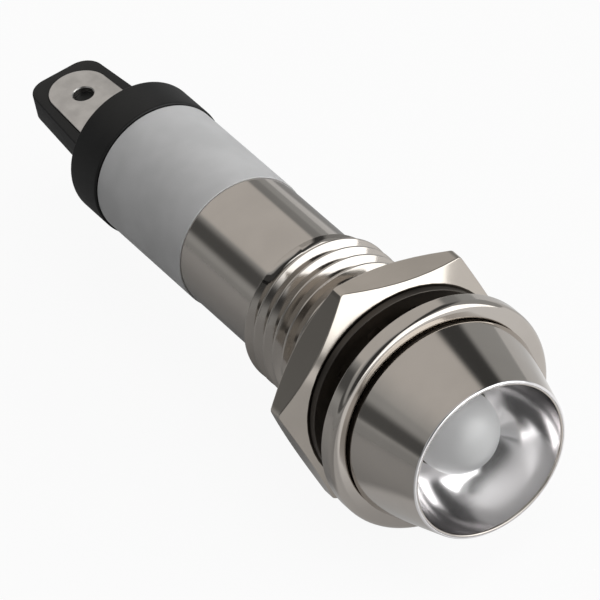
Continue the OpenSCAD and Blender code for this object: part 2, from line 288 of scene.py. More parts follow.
def new_material(name: str) -> tuple[bpy.types.Material, Graph]:
    """Makes an empty material and its graph."""
    material = bpy.data.materials.new(name)
    material.use_nodes = True
    return material, Graph(material.node_tree)


# ---------------------------------------------------------------- finishes


@dataclass(frozen=True)
class PlatedMetal:
    """Bright plate on metal. Lathe marks run round the axis."""

    name: str
    tint: tuple[float, float, float]
    roughness: float
    marks: float = 0.0

    def material(self) -> bpy.types.Material:
        """Builds the finish as a material."""
        material, g = new_material(self.name)
        place = g.place()
        cloud = g.noise(place, 260.0, 3.0)
        lathe = g.noise(g.scaled(place, (40.0, 9000.0, 40.0)), 1.0, 2.0)
        dull = tuple(0.94 * c for c in self.tint)
        values: dict[str, object] = {
            "Base Color": g.blend(cloud.ramp(0.35, 0.7), self.tint, dull),
            "Metallic": 1.0,
            "Roughness": cloud * 0.05 + lathe * 0.03 + (self.roughness - 0.04),
        }
        if self.marks:
            values["Normal"] = g.bump(lathe, self.marks)
        g.surface(values)
        return material


@dataclass(frozen=True)
class Moulding:
    """Moulded plastic with a faint grain."""

    name: str
    colour: tuple[float, float, float]
    roughness: float
    grain: float = 1.5e-5
    shine: float = 0.5

    def material(self) -> bpy.types.Material:
        """Builds the finish as a material."""
        material, g = new_material(self.name)
        place = g.place()
        cloud = g.noise(place, 500.0, 3.0)
        pits = g.noise(place, 9000.0, 2.0)
        paler = tuple(min(1.0, 1.5 * c + 0.002) for c in self.colour)
        g.surface({
            "Base Color": g.blend(cloud.ramp(0.3, 0.8), self.colour, paler),
            "Roughness": cloud * 0.12 + (self.roughness - 0.06),
            "Specular IOR Level": self.shine,
            "Normal": g.bump(pits, self.grain, 0.35),
        })
        return material


@dataclass(frozen=True)
class TinnedSheet:
    """Tinned metal: soft, a little clouded, with rolling lines along the part."""

    name: str
    tint: tuple[float, float, float]
    roughness: float

    def material(self) -> bpy.types.Material:
        """Builds the finish as a material."""
        material, g = new_material(self.name)
        place = g.place()
        cloud = g.noise(place, 900.0, 4.0)
        rolled = g.noise(g.scaled(place, (9000.0, 300.0, 9000.0)), 1.0, 2.0)
        dull = tuple(0.82 * c for c in self.tint)
        g.surface({
            "Base Color": g.blend(cloud.ramp(0.3, 0.75), self.tint, dull),
            "Metallic": 1.0,
            "Roughness": cloud * 0.15 + rolled * 0.06 + (self.roughness - 0.1),
            "Normal": g.bump(rolled * 0.4 + cloud * 0.6, 4e-6),
        })
        return material


@dataclass(frozen=True)
class LabelFilm:
    """Plain matte film: a fine fibre grain and the faint line where its two ends meet."""

    name: str
    colour: tuple[float, float, float]
    seam_half: float = 0.00012

    def material(self) -> bpy.types.Material:
        """Builds the finish as a material."""
        material, g = new_material(self.name)
        place = g.place()
        x, _, z = g.axes(place)
        fibre = g.noise(place, 6000.0, 3.0)
        cloud = g.noise(place, 350.0, 2.0)
        seam = x.between(-self.seam_half, self.seam_half, self.seam_half) * (1.0 - z.ramp(-1e-4, 1e-4))
        dull = tuple(0.9 * c for c in self.colour)
        dark = tuple(0.55 * c for c in self.colour)
        g.surface({
            "Base Color": g.blend(seam, g.blend(cloud.ramp(0.3, 0.7), self.colour, dull), dark),
            "Roughness": 0.42 + fibre * 0.16,
            "Normal": g.bump(fibre - seam, 6e-6, 0.5),
        })
        return material


@dataclass(frozen=True)
class ClearResin:
    """Cast resin, clear or a little milky, with a roughness that varies by a trace."""

    name: str
    colour: tuple[float, float, float]
    haze: float = 0.28
    clear: float = 0.6

    def material(self) -> bpy.types.Material:
        """Builds the finish as a material."""
        material, g = new_material(self.name)
        cloud = g.noise(g.place(), 700.0, 2.0)
        g.surface({
            "Base Color": g.blend(cloud, self.colour, tuple(0.97 * c for c in self.colour)),
            "Roughness": cloud * 0.04 + self.haze,
            "IOR": 1.53,
            "Transmission Weight": self.clear,
        })
        return material


@dataclass(frozen=True)
class Banded:
    """Lacquer with colour bands round a part that lies along Y."""

    name: str
    coat: tuple[float, float, float]
    bands: tuple[tuple[float, float, tuple[float, float, float]], ...]

    def material(self) -> bpy.types.Material:
        """Builds the finish as a material, each band given by its two ends in metres."""
        material, g = new_material(self.name)
        place = g.place()
        _, y, _ = g.axes(place)
        colour: object = g.blend(g.noise(place, 800.0), self.coat, tuple(0.85 * c for c in self.coat))
        for low, high, paint in self.bands:
            colour = g.blend(y.between(low, high, 3e-5), colour, paint)
        g.surface({"Base Color": colour, "Roughness": g.noise(place, 900.0) * 0.1 + 0.22})
        return material


# ---------------------------------------------------------------- meshes


@dataclass(frozen=True)
class Corner:
    """One corner of a turned section, in mm: radius, place along the axis and rounding."""

    r: float
    y: float
    round: float = 0.0
    skin: int = 0


@dataclass(frozen=True)
class Row:
    """One row of a turned surface: radius and place in mm, and the skin of the band after it."""

    r: float
    y: float
    skin: int = 0


def rounded(corners: list[Corner], steps: int = 5, hold: float = 0.04, ring: bool = True) -> list[Row]:
    """Rounds the corners of a section with arcs.

    Args:
        corners: The corners in order.
        steps: How many pieces each arc has.
        hold: Distance in mm from an arc to the extra row that keeps a straight run straight.
        ring: Whether the last corner joins the first.

    Returns:
        The rows of the rounded section.
    """
    rows: list[Row] = []
    count = len(corners)
    for i, c in enumerate(corners):
        before, after = corners[i - 1], corners[(i + 1) % count]
        at_end = not ring and i in (0, count - 1)
        if c.round <= 0.0 or at_end:
            rows.append(Row(c.r, c.y, c.skin))
            continue
        p = Vector((c.r, c.y))
        back = Vector((before.r, before.y)) - p
        ahead = Vector((after.r, after.y)) - p
        half = back.angle(ahead) / 2
        reach = min(c.round / math.tan(half), 0.45 * back.length, 0.45 * ahead.length)
        radius = reach * math.tan(half)
        back_n, ahead_n = back.normalized(), ahead.normalized()
        centre = p + (back_n + ahead_n).normalized() * (radius / math.sin(half))
        start, end = p + back_n * reach - centre, p + ahead_n * reach - centre
        turn = start.angle_signed(end)
        held = min(hold, 0.4 * (back.length - reach))
        if hold and held > 1e-4:
            q = p + back_n * (reach + held)
            rows.append(Row(q.x, q.y, before.skin))
        for k in range(steps + 1):
            a = -turn * k / steps
            q = centre + Vector((
                start.x * math.cos(a) - start.y * math.sin(a),
                start.x * math.sin(a) + start.y * math.cos(a),
            ))
            rows.append(Row(q.x, q.y, before.skin if k < steps else c.skin))
        held = min(hold, 0.4 * (ahead.length - reach))
        if hold and held > 1e-4:
            q = p + ahead_n * (reach + held)
            rows.append(Row(q.x, q.y, c.skin))
    return rows


def link(name: str, mesh: bpy.types.Mesh) -> bpy.types.Object:
    """Makes an object of a mesh and puts it in the scene.

    Args:
        name: The object's name.
        mesh: Its mesh.

    Returns:
        The new object.
    """
    piece = bpy.data.objects.new(name, mesh)
    bpy.context.scene.collection.objects.link(piece)
    return piece


def close_up(mesh: bpy.types.Mesh, sharp: float | None = None) -> None:
    """Merges doubles, points the faces outwards and shades them smooth.

    Args:
        mesh: The mesh, in metres.
        sharp: Edges that bend by more degrees than this stay sharp.
    """
    work = bmesh.new()
    work.from_mesh(mesh)
    bmesh.ops.remove_doubles(work, verts=work.verts, dist=2e-7)
    bmesh.ops.dissolve_degenerate(work, edges=work.edges, dist=1e-7)
    bmesh.ops.recalc_face_normals(work, faces=work.faces)
    work.to_mesh(mesh)
    work.free()
    mesh.shade_smooth()
    if sharp is not None:
        mesh.set_sharp_from_angle(angle=math.radians(sharp))


def grid(
    name: str,
    columns: list[list[tuple[float, float, float]]],
    skins: list[int],
    ring: bool,
    shift: tuple[int, int, int] = (0, 0, 0),
) -> bpy.types.Object:
    """Joins columns of points into a surface that closes round the axis.

    Args:
        name: The object's name.
        columns: Points in mm, one list for each step round the axis.
        skins: The material number of the band after each row.
        ring: Whether the last row joins the first.
        shift: First row, end row and lag of a helical stretch, whose rows meet later ones
            when they come round.

    Returns:
        The new object.
    """
    rows = len(columns[0])
    first, end, lag = shift
    points = [tuple(MM * v for v in p) for column in columns for p in column]
    faces: list[tuple[int, ...]] = []
    numbers: list[int] = []
    for i in range(len(columns)):
        wraps = i == len(columns) - 1
        a, b = i * rows, 0 if wraps else (i + 1) * rows
        for k in range(rows if ring else rows - 1):
            n = (k + 1) % rows
            late = lag if wraps and first <= k < end else 0
            if late and k + 1 + late > end:
                continue
            faces.append((a + k, b + k + late, b + (n + late if late else n), a + n))
            numbers.append(skins[k])
    mesh = bpy.data.meshes.new(name)
    mesh.from_pydata(points, [], faces)
    mesh.polygons.foreach_set("material_index", numbers)
    close_up(mesh)
    return link(name, mesh)


def turned(name: str, rows: list[Row], ring: bool, steps: int = 160) -> bpy.types.Object:
    """Turns a section round the Y axis into a closed surface.

    Args:
        name: The object's name.
        rows: The section's rows in order.
        ring: Whether the last row joins the first. If not, both lie on the axis.
        steps: Steps round the axis.

    Returns:
        The new object.
    """
    columns = []
    for i in range(steps):
        a = 2 * math.pi * i / steps
        columns.append([(row.r * math.cos(a), row.y, row.r * math.sin(a)) for row in rows])
    return grid(name, columns, [row.skin for row in rows], ring)


def dress(
    piece: bpy.types.Object,
    body: str,
    slot: str,
    nodes: tuple[str, ...],
    *skins: bpy.types.Material,
) -> None:
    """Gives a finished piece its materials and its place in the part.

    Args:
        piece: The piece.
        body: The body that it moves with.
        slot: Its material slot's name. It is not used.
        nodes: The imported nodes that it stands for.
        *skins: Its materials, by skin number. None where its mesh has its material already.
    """
    for skin in skins:
        piece.data.materials.append(skin)
    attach(piece, body)
    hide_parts(*nodes)
    LOG.info("%s: %d faces, for %s", piece.name, len(piece.data.polygons), ", ".join(nodes))


def cut(piece: bpy.types.Object, tool: bpy.types.Object, operation: str) -> None:
    """Joins or cuts a piece with a second one, which is used up.

    Args:
        piece: The piece that is kept.
        tool: The second one.
        operation: The Boolean modifier's operation.
    """
    modifier = piece.modifiers.new("cut", "BOOLEAN")
    modifier.operation = operation
    modifier.solver = "EXACT"
    modifier.object = tool
    bake(piece)
    bpy.data.objects.remove(tool)


def bake(piece: bpy.types.Object) -> None:
    """Replaces a piece's mesh by what its modifiers make of it."""
    bpy.context.view_layer.update()
    evaluated = piece.evaluated_get(bpy.context.evaluated_depsgraph_get())
    mesh = bpy.data.meshes.new_from_object(evaluated)
    piece.modifiers.clear()
    piece.data = mesh


# ---------------------------------------------------------------- sub-assemblies


class HousingSkin(IntEnum):
    """The housing's finishes, in the order of its materials."""

    OUTSIDE = 0
    CUP = 1
    BORE = 2
    # painted shade: a dark colour where the groove behind the cone and one thread flank lie in shade
    SHADED = 3


@dataclass
class Housing:
    """The turned body: cup, cone, flange, threaded neck and barrel. Sizes in mm.

    The painted-shade skin is a dark colour painted on the plate. It is painted shade in the groove behind
    the cone, and on the front flank of one turn of the thread, which shows through the washer's slots when
    the nut is at rest.
    """

    rim_r: float = 5.1
    rim_wall: float = 0.25
    cone_r: float = 6.4
    flange_t: float = 1.2
    flange_round: float = 0.45
    groove_w: float = 0.25
    groove_d: float = 0.2
    thread_r: float = 5.0
    pitch: float = 1.0
    thread_len: float = 12.1
    thread_chamfer: float = 0.1
    last_crest: float = 11.18
    land_len: float = 0.8
    barrel_r: float = 4.3
    wall: float = 0.6
    lamp_hole_r: float = 2.6
    lamp_seat: float = 2.4
    # the turn of the thread whose front flank gets the painted shade
    painted_shade_turn: int = 2
    depth_share: float = 0.6134
    flank: float = math.radians(30)
    root_round: float = 0.09
    crest_round: float = 0.05
    steps: int = 160
    cup_steps: int = 56

    def _cup(self, head: float) -> list[Row]:
        """Makes the rows of the polished cup, from the lamp's hole to the rim.

        Args:
            head: Place of the rim along the axis.

        Returns:
            The rows of a hemisphere about the middle of the rim.
        """
        radius = self.rim_r - self.rim_wall
        low, high = math.acos(self.lamp_hole_r / radius), math.radians(3)
        rows = []
        for i in range(self.cup_steps + 1):
            a = low + (high - low) * i / self.cup_steps
            rows.append(Row(radius * math.cos(a), head + radius * math.sin(a), HousingSkin.CUP))
        return rows

    def _form(self) -> list[Row]:
        """Makes the section of one pitch of the thread, from root to root about its crest."""
        depth = self.depth_share * self.pitch
        run, crest = depth * math.tan(self.flank), self.pitch / 8
        root = self.thread_r - depth
        return rounded([
            Corner(root, -self.pitch / 2),
            Corner(root, -crest / 2 - run, self.root_round),
            Corner(self.thread_r, -crest / 2, self.crest_round),
            Corner(self.thread_r, crest / 2, self.crest_round),
            Corner(root, crest / 2 + run, self.root_round),
            Corner(root, self.pitch / 2),
        ], steps=3, hold=0.0, ring=False)

    def _radius(self, form: list[Row], y: float) -> float:
        """Gives the thread's radius at a place.

        Args:
            form: The section of one pitch.
            y: Distance from the middle of any crest.

        Returns:
            The radius there.
        """
        y = (y + self.pitch / 2) % self.pitch - self.pitch / 2
        for before, after in zip(form, form[1:]):
            if before.y <= y <= after.y:
                share = (y - before.y) / max(after.y - before.y, 1e-9)
                return before.r + share * (after.r - before.r)
        return form[0].r

    def _thread(self, form: list[Row]) -> list[Row]:
        """Makes the rows of the thread for the start of the turn, which run past both its ends.

        Args:
            form: The section of one pitch.

        Returns:
            The rows. The front flank of one turn has the painted-shade skin, a dark colour painted on the
            plate.
        """
        count = math.ceil((self.last_crest - self.land_len) / self.pitch) + 2
        first = self.last_crest - (count - 2) * self.pitch
        rows = []
        for i in range(count + 1):
            for row in form[:-1]:
                # painted shade: the front flank of one turn is painted dark
                in_painted_shade = i == self.painted_shade_turn and row.y < 0
                skin = HousingSkin.SHADED if in_painted_shade else HousingSkin.OUTSIDE
                rows.append(Row(row.r, first + row.y + i * self.pitch, skin))
        return rows

    def _held(self, form: list[Row], row: Row, lead: float) -> tuple[float, float]:
        """Keeps a row of the thread between the land and the chamfer at the thread's end.

        Args:
            form: The section of one pitch.
            row: The row at the start of the turn.
            lead: How far the helix has advanced.

        Returns:
            Radius and place of the row there.
        """
        y = min(max(row.y + lead, self.land_len), self.thread_len)
        r = self._radius(form, y - lead - self.last_crest)
        groove = self.thread_r - (y - self.land_len) / math.tan(self.flank)
        return min(max(r, groove), self.thread_r - self.thread_chamfer + self.thread_len - y), y

    def build(self) -> bpy.types.Object:
        """Builds the body as one closed mesh.

        Returns:
            The body, whose skins are numbered as in HousingSkin. The rim has the cup's skin.
        """
        low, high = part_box("housing")
        head, rear, flange_r = low.y / MM, high.y / MM, high.x / MM
        bore = self.barrel_r - self.wall
        foot = -self.flange_t - self.groove_w
        cup = self._cup(head)
        front = rounded([
            Corner(cup[-1].r, cup[-1].y),
            Corner(self.rim_r - self.rim_wall, head, 0.1, HousingSkin.CUP),
            Corner(self.rim_r, head, 0.13),
            # painted shade: the step at the cone's foot and the groove floor behind it are painted dark
            Corner(self.cone_r, foot, 0.05, HousingSkin.SHADED),
            Corner(self.cone_r - self.groove_d, foot, 0.03, HousingSkin.SHADED),
            Corner(self.cone_r - self.groove_d, -self.flange_t, 0.03),
            Corner(flange_r, -self.flange_t, self.flange_round),
            Corner(flange_r, 0.0, 0.08),
            Corner(self.thread_r, 0.0, 0.05),
            Corner(self.thread_r, self.land_len / 2),
        ], steps=7, ring=False)[1:]
        form = self._form()
        helix = self._thread(form)
        back = rounded([
            Corner(self.thread_r, self.thread_len),
            Corner(self.barrel_r, self.thread_len, 0.04),
            Corner(self.barrel_r, rear, 0.06),
            Corner(bore, rear, 0.06, HousingSkin.BORE),
            Corner(bore, self.lamp_seat, 0.0, HousingSkin.BORE),
            Corner(self.lamp_hole_r, self.lamp_seat, 0.0, HousingSkin.BORE),
            Corner(self.lamp_hole_r, cup[0].y),
        ], ring=False)[1:-1]
        rows = cup + front + helix + back
        start = len(cup) + len(front)
        end = start + len(helix) - 1
        columns = []
        for i in range(self.steps):
            turn = i / self.steps
            a = 2 * math.pi * turn
            column = []
            for k, row in enumerate(rows):
                r, y = self._held(form, row, turn * self.pitch) if start <= k <= end else (row.r, row.y)
                column.append((r * math.sin(a), y, r * math.cos(a)))
            columns.append(column)
        skins = [row.skin for row in rows]
        return grid("housing_turned", columns, skins, True, (start, end, len(form) - 1))

    def dress(self, *skins: bpy.types.Material) -> None:
        """Builds the body and dresses it.

        Args:
            *skins: Its four materials, in the order of HousingSkin.
        """
        dress(self.build(), "light", "housing", ("housing",), *skins)


class NutSkin(IntEnum):
    """The nut's finishes, in the order of its materials."""

    PLATE = 0
    # painted shade: a dark colour where the bore and the washer shade the nut
    SHADED = 1


@dataclass
class HexNut:
    """The panel nut, chamfered on both faces. Sizes in mm.

    The painted-shade skin is a dark colour painted on the plate: painted shade in the bore and on the front
    face under the washer.
    """

    flats: float = 14.0
    chamfer: float = 0.4
    corner_round: float = 0.3
    turned_by: float = 14.0
    bore_r: float = 5.05
    sink: float = 0.35

    def _outline(self) -> list[tuple[float, float]]:
        """Gives the hexagon's outline with rounded corners, as X and Z in mm."""
        half = self.flats / 2
        flat_half = half * math.tan(math.radians(30))
        round_in = self.corner_round * math.tan(math.radians(30))
        centre = (half - self.corner_round) / math.cos(math.radians(30))
        points = []
        for side in range(6):
            mid = math.radians(60 * side + 30 - self.turned_by)
            for share in (-1, -0.94, -0.7, -0.45, -0.2, 0, 0.2, 0.45, 0.7, 0.94, 1):
                along = share * (flat_half - round_in)
                points.append((
                    half * math.cos(mid) - along * math.sin(mid),
                    half * math.sin(mid) + along * math.cos(mid),
                ))
            corner = mid + math.radians(30)
            for k in range(1, 6):
                a = mid + math.radians(10 * k)
                points.append((
                    centre * math.cos(corner) + self.corner_round * math.cos(a),
                    centre * math.sin(corner) + self.corner_round * math.sin(a),
                ))
        return points

    def build(self) -> bpy.types.Object:
        """Builds the nut: its section is worked out afresh for each point of the outline."""
        low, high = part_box("hex_nut")
        front, rear = low.y / MM, high.y / MM
        face_r = self.flats / 2 - self.chamfer
        columns = []
        for x, z in self._outline():
            rho = math.hypot(x, z)
            drop = (rho - face_r) * math.tan(math.radians(30))
            section = rounded([
                # painted shade on the front face under the washer, the front countersink and the bore
                Corner(self.bore_r + self.sink, front, 0.04, NutSkin.SHADED),
                Corner(face_r, front, 0.12),
                Corner(rho, front + drop, 0.07),
                Corner(rho, rear - drop, 0.07),
                Corner(face_r, rear, 0.12),
                Corner(self.bore_r + self.sink, rear, 0.04),
                Corner(self.bore_r, rear - self.sink, 0.03, NutSkin.SHADED),
                Corner(self.bore_r, front + self.sink, 0.03, NutSkin.SHADED),
            ], hold=0.05)
            columns.append([(row.r * x / rho, row.y, row.r * z / rho) for row in section])
        return grid("nut_machined", columns, [row.skin for row in section], True)

    def dress(self, plate: bpy.types.Material, dark: bpy.types.Material) -> None:
        """Builds the nut and dresses it.

        Args:
            plate: Its outside.
            dark: The painted-shade skin, a dark colour painted on the bore and on the front face under the
                washer.
        """
        dress(self.build(), "nut", "nut", ("hex_nut",), plate, dark)


@dataclass
class LockWasher:
    """The toothed lock washer, one sector repeated round the axis. Sizes in mm."""

    outer_r: float = 6.5
    hole_r: float = 5.15
    tooth_len: float = 0.45
    teeth: int = 12
    slot_share: float = 0.28
    edge: float = 0.05
    steps: int = 16

    def _sector(self) -> bpy.types.Object:
        """Makes one tooth with its share of the ring, standing at the +Z side."""
        low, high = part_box("lock_washer")
        y0, y1 = low.y / MM, high.y / MM
        root = self.hole_r + self.tooth_len
        half = math.pi / self.teeth
        slot = self.slot_share * half
        columns = []
        for i in range(self.steps + 1):
            a = -half + 2 * half * i / self.steps
            inner = root if abs(a) > half - slot else self.hole_r
            ring = rounded([
                Corner(inner, y0, self.edge), Corner(self.outer_r, y0, self.edge),
                Corner(self.outer_r, y1, self.edge), Corner(inner, y1, self.edge),
            ], steps=3)
            columns.append([(p.r * math.sin(a), p.y, p.r * math.cos(a)) for p in ring])
        rows = len(columns[0])
        points = [tuple(MM * v for v in p) for column in columns for p in column]
        faces = [
            (i * rows + k, (i + 1) * rows + k, (i + 1) * rows + (k + 1) % rows, i * rows + (k + 1) % rows)
            for i in range(self.steps) for k in range(rows)
        ]
        mesh = bpy.data.meshes.new("washer_sector")
        mesh.from_pydata(points, [], faces)
        return link("washer_sector", mesh)

    def build(self, steel: bpy.types.Material) -> bpy.types.Object:
        """Repeats the sector with Geometry Nodes.

        Args:
            steel: The washer's material, set by the tree.

        Returns:
            The whole washer as a plain mesh.
        """
        sector = self._sector()
        tree = bpy.data.node_groups.new("washer_ring", "GeometryNodeTree")
        face = tree.interface
        face.new_socket("Sector", in_out="INPUT", socket_type="NodeSocketObject")
        face.new_socket("Teeth", in_out="INPUT", socket_type="NodeSocketInt")
        face.new_socket("Steel", in_out="INPUT", socket_type="NodeSocketMaterial")
        face.new_socket("Geometry", in_out="OUTPUT", socket_type="NodeSocketGeometry")
        add, join = tree.nodes.new, tree.links.new
        given, result = add("NodeGroupInput"), add("NodeGroupOutput")
        info = add("GeometryNodeObjectInfo")
        join(given.outputs["Sector"], info.inputs["Object"])
        line = add("GeometryNodeMeshLine")
        join(given.outputs["Teeth"], line.inputs["Count"])
        line.inputs["Offset"].default_value = (0.0, 0.0, 0.0)
        index = add("GeometryNodeInputIndex")
        share = add("ShaderNodeMath")
        share.operation = "DIVIDE"
        join(index.outputs[0], share.inputs[0])
        join(given.outputs["Teeth"], share.inputs[1])
        angle = add("ShaderNodeMath")
        angle.operation = "MULTIPLY"
        join(share.outputs[0], angle.inputs[0])
        angle.inputs[1].default_value = 2 * math.pi
        turn = add("ShaderNodeCombineXYZ")
        join(angle.outputs[0], turn.inputs["Y"])
        spread = add("GeometryNodeInstanceOnPoints")
        join(line.outputs["Mesh"], spread.inputs["Points"])
        join(info.outputs["Geometry"], spread.inputs["Instance"])
        join(turn.outputs[0], spread.inputs["Rotation"])
        real = add("GeometryNodeRealizeInstances")
        join(spread.outputs[0], real.inputs[0])
        paint = add("GeometryNodeSetMaterial")
        join(real.outputs[0], paint.inputs["Geometry"])
        join(given.outputs["Steel"], paint.inputs["Material"])
        join(paint.outputs[0], result.inputs[0])
        washer = link("washer_toothed", bpy.data.meshes.new("washer_toothed"))
        modifier = washer.modifiers.new("ring", "NODES")
        modifier.node_group = tree
        sockets = {s.name: s.identifier for s in face.items_tree if s.in_out == "INPUT"}
        modifier[sockets["Sector"]] = sector
        modifier[sockets["Teeth"]] = self.teeth
        modifier[sockets["Steel"]] = steel
        bake(washer)
        bpy.data.objects.remove(sector)
        close_up(washer.data, 40)
        return washer

    def dress(self, steel: bpy.types.Material) -> None:
        """Builds the washer and dresses it."""
        dress(self.build(steel), "washer", "washer", ("lock_washer",))


@dataclass
class Lamp:
    """The clear lamp body round its metal frames. Sizes in mm."""

    body_r: float = 2.5
    flange_r: float = 2.9
    flange_t: float = 1.0
    flat_gap: float = 0.02
    dome_steps: int = 40

    def build(self) -> bpy.types.Object:
        """Builds the clear body: a dome on a cylinder, on a base flange with one flat."""
        low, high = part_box("lamp_lens")
        tip, base = low.y / MM, high.y / MM
        rows = []
        for i in range(self.dome_steps + 1):
            a = math.pi / 2 * i / self.dome_steps
            rows.append(Row(self.body_r * math.sin(a), tip + self.body_r * (1 - math.cos(a))))
        rows += rounded([
            Corner(self.body_r, tip + 1.5 * self.body_r),
            Corner(self.body_r, base - self.flange_t, 0.05),
            Corner(self.flange_r, base - self.flange_t, 0.1),
            Corner(self.flange_r, base, 0.1),
            Corner(0.0, base),
        ], ring=False)
        lamp = turned("lamp_body_clear", rows, False, 96)
        flat = -(self.body_r + self.flat_gap) * MM
        for vertex in lamp.data.vertices:
            vertex.co.x = max(vertex.co.x, flat)
        return lamp

    def dress(self, resin: bpy.types.Material) -> None:
        """Builds the clear body and dresses it."""
        dress(self.build(), "light", "lens", ("lamp_lens",), resin)


@dataclass
class Label:
    """The bare label round the barrel. Sizes in mm."""

    barrel_r: float = 4.3
    edge: float = 0.02

    def dress(self, film: bpy.types.Material) -> None:
        """Builds the label as a thin sleeve and dresses it."""
        low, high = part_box("label_sleeve")
        outer, y0, y1 = high.x / MM, low.y / MM, high.y / MM
        rows = rounded([
            Corner(self.barrel_r, y0), Corner(outer, y0, self.edge),
            Corner(outer, y1, self.edge), Corner(self.barrel_r, y1),
        ], steps=3)
        dress(turned("label_wrap", rows, True, 128), "light", "label", ("label_sleeve",), film)


class Side(Enum):
    """Which face of the tongue a lug lies on."""

    TOP = 1
    BOTTOM = -1


@dataclass
class RearEnd:
    """The moulded cap with its tongue, and the two solder lugs in it. Sizes in mm."""

    tube_len: float = 29.6
    cap_r: float = 4.5
    cap_back: float = 32.7
    bevel: float = 0.3
    plug_r: float = 3.65
    tongue_half: float = 2.4
    tongue_corner: float = 1.3
    tongue_root: float = 3.1
    lug_half: float = 1.9
    lug_root: float = 2.2
    lug_t: float = 0.4
    eye_r: float = 0.65
    from_end: float = 2.4
    tail_w: float = 2.0
    slip: float = 0.03
    lug_proud: float = 0.1
    tongue_sunk: float = 1.5
    tongue_edge: float = 0.09
    lug_edge: float = 0.06
    lip_w: float = 0.07
    lip_t: float = 0.06
    past: float = 0.01

    def _outline(
        self, root: float, half: float, corner: float, y0: float, y1: float
    ) -> list[tuple[float, float]]:
        """Gives a tapered tongue's outline as X and Y in mm.

        Args:
            root: Half its width at y0.
            half: Half its width at its end.
            corner: Radius of the end's corners. At half the width the end is round.
            y0: Where it starts.
            y1: Where it ends.

        Returns:
            The points from one root round the end to the other.
        """
        across, middle = half - corner, y1 - corner
        side, length = root - across, middle - y0
        lean = math.acos(corner / math.hypot(side, length)) - math.atan2(length, side)
        right = [(root, y0)]
        for i in range(25):
            a = lean + (math.pi / 2 - lean) * i / 24
            right.append((across + corner * math.cos(a), middle + corner * math.sin(a)))
        left = [(-x, y) for x, y in reversed(right)]
        return right + (left if across > 1e-6 else left[1:])

    def _plate(
        self, name: str, outline: list[tuple[float, float]], z0: float, z1: float, edge: float
    ) -> bpy.types.Object:
        """Makes a flat plate with rounded edges from an outline.

        Args:
            name: The object's name.
            outline: The outline in mm, as X and Y.
            z0: Its lower face.
            z1: Its upper face.
            edge: Radius of its edges.

        Returns:
            The plate.
        """
        work = bmesh.new()
        base = work.faces.new([work.verts.new((x * MM, y * MM, z0 * MM)) for x, y in outline])
        grown = bmesh.ops.extrude_face_region(work, geom=[base])
        top = [v for v in grown["geom"] if isinstance(v, bmesh.types.BMVert)]
        bmesh.ops.translate(work, verts=top, vec=(0, 0, (z1 - z0) * MM))
        if edge:
            rims = [e for e in work.edges if abs(e.verts[0].co.z - e.verts[1].co.z) < 1e-9]
            bmesh.ops.bevel(work, geom=rims, offset=edge * MM, segments=3, profile=0.5, affect="EDGES")
        bmesh.ops.recalc_face_normals(work, faces=work.faces)
        mesh = bpy.data.meshes.new(name)
        work.to_mesh(mesh)
        work.free()
        return link(name, mesh)

    def cap(self) -> bpy.types.Object:
        """Builds the cap: plug, bevelled disc, and the tongue with a pocket for each lug."""
        low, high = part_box("rear_cap")
        _, lug_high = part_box("terminal_lug_top")
        front, end = low.y / MM, high.y / MM
        lug_end, lug_top = lug_high.y / MM, lug_high.z / MM
        tongue_z = lug_top - self.lug_proud
        disc = turned("cap_moulded", rounded([
            Corner(0.0, front),
            Corner(self.plug_r, front, 0.1),
            Corner(self.plug_r, self.tube_len, 0.0),
            Corner(self.cap_r, self.tube_len, 0.12),
            Corner(self.cap_r, self.cap_back - self.bevel, 0.12),
            Corner(self.cap_r - self.bevel, self.cap_back, 0.12),
            Corner(0.0, self.cap_back),
        ], ring=False), False, 128)
        tongue = self._plate(
            "tongue", self._outline(
                self.tongue_root, self.tongue_half, self.tongue_corner,
                self.cap_back - self.tongue_sunk, end,
            ),
            -tongue_z, tongue_z, self.tongue_edge,
        )
        cut(disc, tongue, "UNION")
        loose = self.lug_half + self.slip
        pocket = self._outline(
            self.lug_root + self.slip, loose, loose, self.cap_back, lug_end + self.slip
        )
        for side in Side:
            z0, z1 = sorted((side.value * (lug_top - self.lug_t), side.value * (lug_top + 1)))
            cut(disc, self._plate("pocket", pocket, z0, z1, 0.0), "DIFFERENCE")
        close_up(disc.data, 32)
        return disc

    def lug(self, side: Side) -> bpy.types.Object:
        """Builds one solder lug with its eye and its tail.

        Args:
            side: The face of the tongue that it lies on.

        Returns:
            The lug.
        """
        name = f"terminal_lug_{side.name.lower()}"
        low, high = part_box(name)
        z0, z1 = low.z / MM, high.z / MM
        front, end = low.y / MM, high.y / MM
        lug = self._plate(
            f"lug_{side.name.lower()}",
            self._outline(self.lug_root, self.lug_half, self.lug_half, self.cap_back, end),
            z0, z1, self.lug_edge,
        )
        tail = self._plate("tail", [
            (-self.tail_w / 2, front), (self.tail_w / 2, front),
            (self.tail_w / 2, self.cap_back + 1), (-self.tail_w / 2, self.cap_back + 1),
        ], z0 + self.past, z1 - self.past, 0.0)
        cut(lug, tail, "UNION")
        place = end - self.from_end
        lip = self.eye_r + self.lip_w
        drill = turned("drill", rounded([
            Corner(0.0, z0 - 1), Corner(self.eye_r, z0 - 1), Corner(self.eye_r, z1 - self.lip_t),
            Corner(lip, z1 + self.past), Corner(lip, z1 + 1), Corner(0.0, z1 + 1),
        ] if side is Side.TOP else [
            Corner(0.0, z0 - 1), Corner(lip, z0 - 1), Corner(lip, z0 - self.past),
            Corner(self.eye_r, z0 + self.lip_t), Corner(self.eye_r, z1 + 1), Corner(0.0, z1 + 1),
        ], ring=False), False, 64)
        drill.data.transform(Matrix.Translation((0, place * MM, 0)) @ Matrix.Rotation(math.pi / 2, 4, "X"))
        cut(lug, drill, "DIFFERENCE")
        close_up(lug.data, 32)
        return lug

